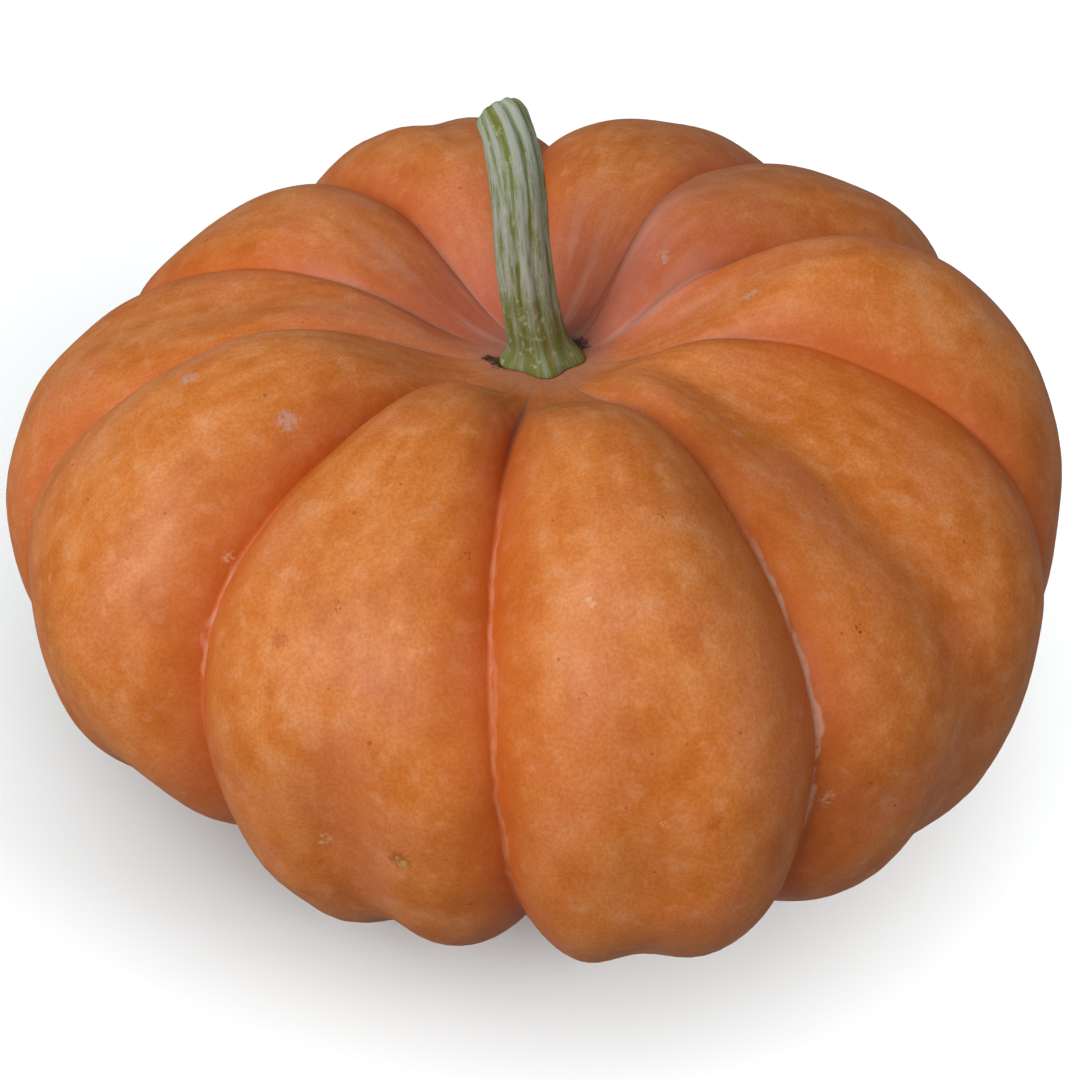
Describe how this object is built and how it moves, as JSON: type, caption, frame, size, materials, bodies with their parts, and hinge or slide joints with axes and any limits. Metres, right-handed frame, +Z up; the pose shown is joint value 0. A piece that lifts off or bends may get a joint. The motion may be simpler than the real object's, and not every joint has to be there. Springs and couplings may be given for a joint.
{
  "type": "pumpkin",
  "caption": "Whole ripe pumpkin as picked, broad and flattened, with rounded ribs, deep furrows, a hollow crown and a short fluted cut stem.",
  "frame": {"origin": "on the ground, at the middle of the space that the whole pumpkin takes up", "axes": "+Z up along the fruit's axis, from the blossom end to the stem; -Y is the front, where two ribs meet in a furrow; +X is to its right"},
  "size_m": [0.3044, 0.3252, 0.2017],
  "materials": {
    "rind": null,
    "stem": "dry woody stem, pale grey-green ridges with olive furrows"
  },
  "bodies": {
    "root": {"fruit": "rind", "stem": "stem"}
  },
  "joints": []
}
